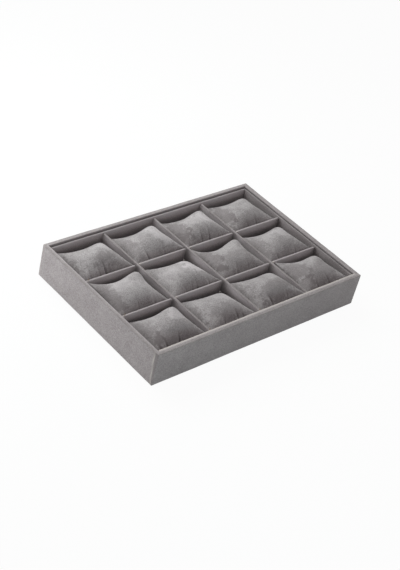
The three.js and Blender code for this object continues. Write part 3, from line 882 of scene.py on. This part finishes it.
def sewn_and_stuffed(corners, half_long, half_wide, rng, name):
    """The points of a pillow that is held only by its corners, blown up from its flat cut."""
    across, deep = SEWN.across, SEWN.deep
    plane = corner_plane(SEWN, corners)
    swell = np.sqrt((1 - across ** 2) * (1 - deep ** 2))
    folds = gathers(half_long, half_wide, rng)
    x = across * (half_long - CORNER_GAP) * (1 - SIDE_PULL * (1 - deep ** 2))
    y = deep * (half_wide - CORNER_GAP) * (1 - SIDE_PULL * (1 - across ** 2))
    rise = START_RISE
    upper = np.stack([x, y, plane + rise * swell + folds], axis=-1)
    lower = np.stack([x, y, plane - rise * swell + folds], axis=-1)
    flat = np.stack([across * CUT_LENGTH / 2, deep * CUT_WIDTH / 2, 0 * plane], axis=-1)
    start = SEWN.points(upper, lower)
    return blow_up(start, SEWN.points(flat, flat), name)


def settle(upper, lower, plane, seam, crown, floor, back_right):
    """Lays the blown-up pillow in its compartment: the seam sags, the crown leans to the front right and
    comes to its height, the back right corner rounds off under a hump, the left side fills out, and the belly
    comes down to the floor and flattens there."""
    across, deep = SHOWN.across, SHOWN.deep
    middle = seam[seam.shape[0] // 2, seam.shape[1] // 2]
    gentle = SEAM_SLOPE * (1 - SEAM_SLOPE_LOSS * across ** 2)
    slope = (1 - deep ** 2) ** gentle * (1 - across ** 2) ** SIDE_SLOPE
    over = upper[..., 2] - plane
    dome = np.maximum(over, 0) * slope * (1 + LEAN * across - LEAN * deep)
    upper[..., 2] = seam + np.where(over > 0, dome * (crown - middle) / dome.max(), over)
    from_hump = (across - HUMP_PLACE) ** 2 + (deep - HUMP_PLACE) ** 2
    to_seam = np.sqrt((1 - across ** 2) * (1 - deep ** 2)) / (1 - HUMP_PLACE ** 2)
    hump = np.exp(-from_hump / (2 * HUMP_SPREAD ** 2)) * to_seam ** HUMP_SLOPE
    top = np.unravel_index(from_hump.argmin(), from_hump.shape)
    upper[..., 2] += max(0.0, back_right + HUMP_RISE - upper[..., 2][top]) * hump
    under = np.maximum(plane - lower[..., 2], 0)
    level = seam - under * (middle - floor + BELLY_PRESS) / under.max()
    press = np.maximum(floor + BELLY_PRESS - level, 0) / BELLY_PRESS
    lower[..., 2] = np.where(press > 0, floor + BELLY_PRESS * np.exp(-press), level)
    to_back_right = (np.maximum(across, 0) * np.maximum(deep, 0))[..., None]
    for panel in (upper, lower):
        panel[..., 0] *= 1 + SIDE_FULLNESS * (1 - across) / 2 * (1 - deep ** 2)
        panel[..., :2] *= 1 - CORNER_TUCK * to_back_right ** CORNER_TUCK_POWER


def crease(upper, place, depth, half_wide, rng):
    """Presses one crease into the front slope: a narrow groove with a soft ridge on its left. Returns the
    painted shade in the groove and the painted highlight on the ridge."""
    away = (1 + SHOWN.deep) * half_wide
    drift = rng.uniform(-CREASE_DRIFT, CREASE_DRIFT)
    reach = CREASE_REACH * rng.uniform(*CREASE_REACH_SPREAD)
    beside = upper[..., 0] - place - drift * away
    groove = np.exp(-(beside / CREASE_WIDTH) ** 2)
    ridge = np.exp(-((beside + RIDGE_PLACE) / RIDGE_WIDTH) ** 2)
    fade = np.exp(-(away / reach) ** 2)
    lift = CREASE_GAIN * depth * (RIDGE_HEIGHT * ridge - groove) * fade
    upper[..., 2] += CREASE_UP * lift
    upper[..., 1] -= CREASE_FORWARD * lift
    return CREASE_SHADE * depth / MM * (RIDGE_SHADE * ridge - groove) * fade


def pillow_points(name, half_long, half_wide, floor, seed):
    """The pillow's points about its compartment's middle, resting on the floor, and how much paler or darker
    its pile looks, from brushed nap and painted light and shade.
    """
    corners, back_middle, crown, creases = PILLOW_LIE[name]
    rng = np.random.default_rng(seed)
    stuffed = sewn_and_stuffed(corners, half_long, half_wide, rng, f"pillow_{name}_sewn")
    upper, lower = finer(stuffed[SEWN.upper]), finer(stuffed[SEWN.lower])
    plane, seam = corner_plane(SHOWN, corners), seam_height(SHOWN, corners, back_middle)
    settle(upper, lower, plane, seam, crown * MM, floor, corners[2] * MM)
    # Painted shade in each crease's groove and painted highlight on its ridge
    bend_line_and_crease_tone = sum(crease(upper, place * MM, depth * MM, half_wide, rng) for place, depth in creases)
    points = SHOWN.points(upper, lower)
    points[:, 0] = np.clip(points[:, 0], WALL_GAP - half_long, half_long - WALL_GAP)
    points[:, 1] = np.clip(points[:, 1], WALL_GAP - half_wide, half_wide - WALL_GAP)
    nap_and_painted_light = pillow_nap_and_shade(name, points, seed)
    # Painted shade over the lower panel
    nap_and_painted_light[SHOWN.lower[1:-1, 1:-1]] = LOW_SHADE
    nap_and_painted_light[SHOWN.upper] += bend_line_and_crease_tone
    return points, np.clip(nap_and_painted_light, -1, 1)


def pillow_nap_and_shade(name, points, seed):
    """How much paler or darker the pillow looks at each point: ragged patches of brushed nap and of painted
    shade, which fade out over their edge.
    """
    tone_shift = np.zeros(len(points))
    shift = Vector((0, 0, RAGGED_SHIFT * seed))
    ragged = np.array([noise.fractal(Vector(p) / RAGGED_LENGTH + shift, *RAGGED_NOISE) for p in points])
    for x, y, half_x, half_y, turn, strength in PILLOW_NAP_AND_SHADE[name]:
        turned = math.radians(turn)
        beside_x, beside_y = points[:, 0] - x * MM, points[:, 1] - y * MM
        along = beside_x * math.cos(turned) + beside_y * math.sin(turned)
        across = beside_y * math.cos(turned) - beside_x * math.sin(turned)
        inside = (1 - np.hypot(along / half_x, across / half_y) / MM) * min(half_x, half_y) * MM
        share = np.clip((inside + PATCH_RAGGED * ragged) / PATCH_EDGE + 0.5, 0, 1)
        tone_shift += strength * share * share * (3 - 2 * share)
    return tone_shift


def cushion_piece(name, points, material, nap_and_painted_light):
    """A pillow's closed surface as a piece."""
    sheet = Sheet()
    sheet.points = [tuple(p) for p in points]
    sheet.faces = SHOWN.faces
    sheet.wear_and_painted_highlight = [0.0] * len(points)
    sheet.nap_and_painted_light = list(nap_and_painted_light)
    return sheet.piece(name, material)


def moved_inward(points, inset):
    """A closed surface's points, moved inward along their normals."""
    mesh = bpy.data.meshes.new("inside")
    mesh.from_pydata(points.tolist(), [], SHOWN.faces)
    normals = np.array([v.normal for v in mesh.vertices])
    bpy.data.meshes.remove(mesh)
    return points - normals * inset


def pillow(name, centre, half_long, half_wide, floor, seed):
    """One pillow: its cover, filling, closing stitches and frayed corner."""
    body = f"pillow_{name}"
    points, nap_and_painted_light = pillow_points(name, half_long, half_wide, floor, seed)
    points += np.array([centre[0], centre[1], 0])
    cover = cushion_piece(body, points, pillow_velvet, nap_and_painted_light)
    hand_over(cover, body, "pillow_velvet", f"{body}_cover")
    fibre = cushion_piece(f"{body}_fibre", moved_inward(points, FIBRE_INSET), carded_fibre, 0 * nap_and_painted_light)
    hand_over(fibre, body, "fibre_fill", f"{body}_filling")
    closing_stitches(body, points)
    front_left = Vector(points[SHOWN.upper[0, 0]])
    frayed_yarn(f"{body}_frayed_corner", body, front_left, np.random.default_rng(seed))


def add_thread(sheet, path):
    """A thread along a path, as a round tube."""
    rings = []
    for k, point in enumerate(path):
        run = (path[min(k + 1, len(path) - 1)] - path[max(k - 1, 0)]).normalized()
        side = run.cross(THREAD_LEAN).normalized()
        turns = [math.tau * t / THREAD_SIDES for t in range(THREAD_SIDES + 1)]
        other = run.cross(side)
        rings.append([point + THREAD_RADIUS * (side * math.cos(t) + other * math.sin(t)) for t in turns])
    sheet.grid(rings)


def closing_stitches(body, points):
    """Ladder stitches over the middle of the back seam, where the cover was closed after stuffing."""
    sheet = Sheet()
    for stitch in range(STITCH_COUNT):
        column = CELLS_LONG + (stitch - STITCH_COUNT // 2) * STITCH_COLUMNS
        above = Vector(points[SHOWN.upper[column, -3]]) + Vector((0, 0, THREAD_RADIUS / 2))
        seam = Vector(points[SHOWN.upper[column, -1]]) + Vector((0, THREAD_RADIUS / 2, 0))
        below = Vector(points[SHOWN.lower[column + 1, -3]]) - Vector((0, 0, THREAD_RADIUS / 2))
        add_thread(sheet, [above, seam, below])
    piece = sheet.piece(f"{body}_stitches", sewing_thread)
    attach(piece, body)


def frayed_yarn(name, body, root, rng):
    """Loose yarn ends at a corner, where the velvet was cut."""
    sheet = Sheet()
    for _ in range(FRAYED_THREADS):
        tip = Vector(rng.uniform(FRAYED_TIP_LOW, FRAYED_TIP_HIGH)) * MM
        bow = Vector(rng.uniform(-FRAYED_BOW, FRAYED_BOW, 3)) * MM
        add_thread(sheet, [root, root + tip / 2 + bow, root + tip])
    piece = sheet.piece(name, ground_yarn)
    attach(piece, body)


def frayed_end(name):
    """Loose yarn on a divider's top, near its end at the left or front wall."""
    low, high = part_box(f"{name}_velvet")
    along = Vector((1, 0, 0)) if name.startswith("long") else Vector((0, 1, 0))
    middle = Vector((*((low + high) / 2).xy, high.z))
    root = middle - along * (high - low).dot(along) / 2 + along * FRAYED_BACK
    frayed_yarn(f"{name}_frayed_end", TRAY, root, np.random.default_rng(len(name)))


def compartments():
    """Middle, half sizes and floor height of each compartment, between the faces of liners and dividers."""
    cross = [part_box(f"cross_divider_{k}_velvet") for k in CROSS_DIVIDERS]
    long = [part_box(f"long_divider_{k}_velvet") for k in LONG_DIVIDERS]
    left = [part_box("left_liner_velvet")[1].x] + [high.x for _, high in cross]
    right = [low.x for low, _ in cross] + [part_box("right_liner_velvet")[0].x]
    front = [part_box("front_liner_velvet")[1].y] + [high.y for _, high in long]
    back = [low.y for low, _ in long] + [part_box("back_liner_velvet")[0].y]
    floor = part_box("floor_velvet")[1].z + REST_GAP
    found = {}
    for row, letter in enumerate(ROWS):
        for column, number in enumerate(COLUMNS):
            middle = ((left[column] + right[column]) / 2, (front[row] + back[row]) / 2)
            half = (right[column] - left[column]) / 2, (back[row] - front[row]) / 2
            found[letter + number] = (middle, *half, floor)
    return found


# Stage: a white floor, soft light from behind, the left and the front, and the photograph's camera

def seen_directly(tree):
    """1 for what the camera, a mirror or glass sees, and 0 for what only lights the object."""
    path = node(tree, "ShaderNodeLightPath")
    seen = node(tree, "ShaderNodeMath",
                {0: path.outputs["Is Camera Ray"], 1: path.outputs["Is Glossy Ray"]}, operation="MAXIMUM")
    both = node(tree, "ShaderNodeMath",
                {0: seen.outputs[0], 1: path.outputs["Is Transmission Ray"]}, operation="MAXIMUM")
    return both.outputs[0]


def white_floor():
    """A floor that looks white to the eye and still takes the tray's shadow."""
    material, tree = blank_material("white paper floor, matt")
    share = node(tree, "ShaderNodeMath", {0: seen_directly(tree), 1: FLOOR_GLOW}, operation="MULTIPLY")
    paper = node(tree, "ShaderNodeBsdfDiffuse", {"Color": linear("f2f2f2")})
    glow = node(tree, "ShaderNodeEmission", {"Color": linear("ffffff"), "Strength": 1.0})
    both = node(tree, "ShaderNodeMixShader", {0: share.outputs[0], 1: paper.outputs[0], 2: glow.outputs[0]})
    node(tree, "ShaderNodeOutputMaterial", {"Surface": both.outputs[0]})
    sheet = Sheet()
    reach = FLOOR_REACH
    sheet.grid([[(-reach, -reach, 0), (reach, -reach, 0)], [(-reach, reach, 0), (reach, reach, 0)]])
    sheet.piece("floor", material)


def studio_light():
    """A white room that lights the tray dimly, and the softboxes."""
    world = bpy.data.worlds.new("studio")
    bpy.context.scene.world = world
    world.use_nodes = True
    tree = world.node_tree
    tree.nodes.clear()
    room = node(tree, "ShaderNodeBackground", {"Color": linear("ffffff"), "Strength": ROOM_LIGHT})
    white = node(tree, "ShaderNodeBackground", {"Color": linear("ffffff"), "Strength": 1.0})
    both = node(tree, "ShaderNodeMixShader",
                {0: seen_directly(tree), 1: room.outputs[0], 2: white.outputs[0]})
    node(tree, "ShaderNodeOutputWorld", {"Surface": both.outputs[0]})
    for name, settings in SOFTBOXES.items():
        softbox(name, *settings)


def softbox(name, place, aim, width, height, power, tint):
    """A flat rectangular light at a place, turned to what it faces."""
    lamp = bpy.data.lights.new(name, "AREA")
    lamp.shape = "RECTANGLE"
    lamp.size, lamp.size_y = width, height
    lamp.energy = power
    lamp.color = linear(tint)[:3]
    made = bpy.data.objects.new(name, lamp)
    bpy.context.scene.collection.objects.link(made)
    made.location = place
    made.rotation_mode = "QUATERNION"
    made.rotation_quaternion = (Vector(aim) - Vector(place)).to_track_quat("-Z", "Y")


def photograph_camera():
    """The camera that took the photograph, as fitted to the tray's edges."""
    camera = bpy.data.cameras.new("camera")
    camera.sensor_fit = "AUTO"
    camera.sensor_width = CAMERA_SENSOR
    camera.lens = CAMERA_LENS
    made = bpy.data.objects.new("camera", camera)
    bpy.context.scene.collection.objects.link(made)
    turn, lift = math.radians(CAMERA_AZIMUTH), math.radians(CAMERA_ELEVATION)
    back = Vector((math.sin(turn) * math.cos(lift), -math.cos(turn) * math.cos(lift), math.sin(lift)))
    made.location = Vector(CAMERA_AIM) + back * CAMERA_DISTANCE
    made.rotation_mode = "QUATERNION"
    roll = Quaternion(Vector((0, 0, 1)), math.radians(CAMERA_ROLL))
    made.rotation_quaternion = (-back).to_track_quat("-Z", "Y") @ roll
    bpy.context.scene.camera = made


# The build

photograph_camera()
white_floor()
studio_light()
bpy.context.scene.view_settings.view_transform = "Standard"

for seed, (name, (middle, half_long, half_wide, floor)) in enumerate(compartments().items(), start=1):
    pillow(name, middle, half_long, half_wide, floor, seed)
column_lines = [sum(c.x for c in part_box(f"cross_divider_{k}_velvet")) / 2 for k in CROSS_DIVIDERS]
row_lines = [sum(c.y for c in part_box(f"long_divider_{k}_velvet")) / 2 for k in LONG_DIVIDERS]
for wall in WALLS:
    wall_velvet(wall)
    liner_velvet(wall, row_lines)
flat_cloth("floor_pad_velvet", "floor_velvet", tray_velvet, "tray_velvet", True)
flat_cloth("underside_felt", "underside_cloth", bonded_felt, "underside_cloth", False)
for k in LONG_DIVIDERS:
    divider_velvet(f"long_divider_{k}", True, column_lines)
for k in CROSS_DIVIDERS:
    divider_velvet(f"cross_divider_{k}", False, row_lines)
for name in FRAYED_DIVIDERS:
    frayed_end(name)

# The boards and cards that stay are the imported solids.
for name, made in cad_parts.items():
    made.data.materials.clear()
    made.data.materials.append(fibreboard if name.endswith("_board") else greyboard)
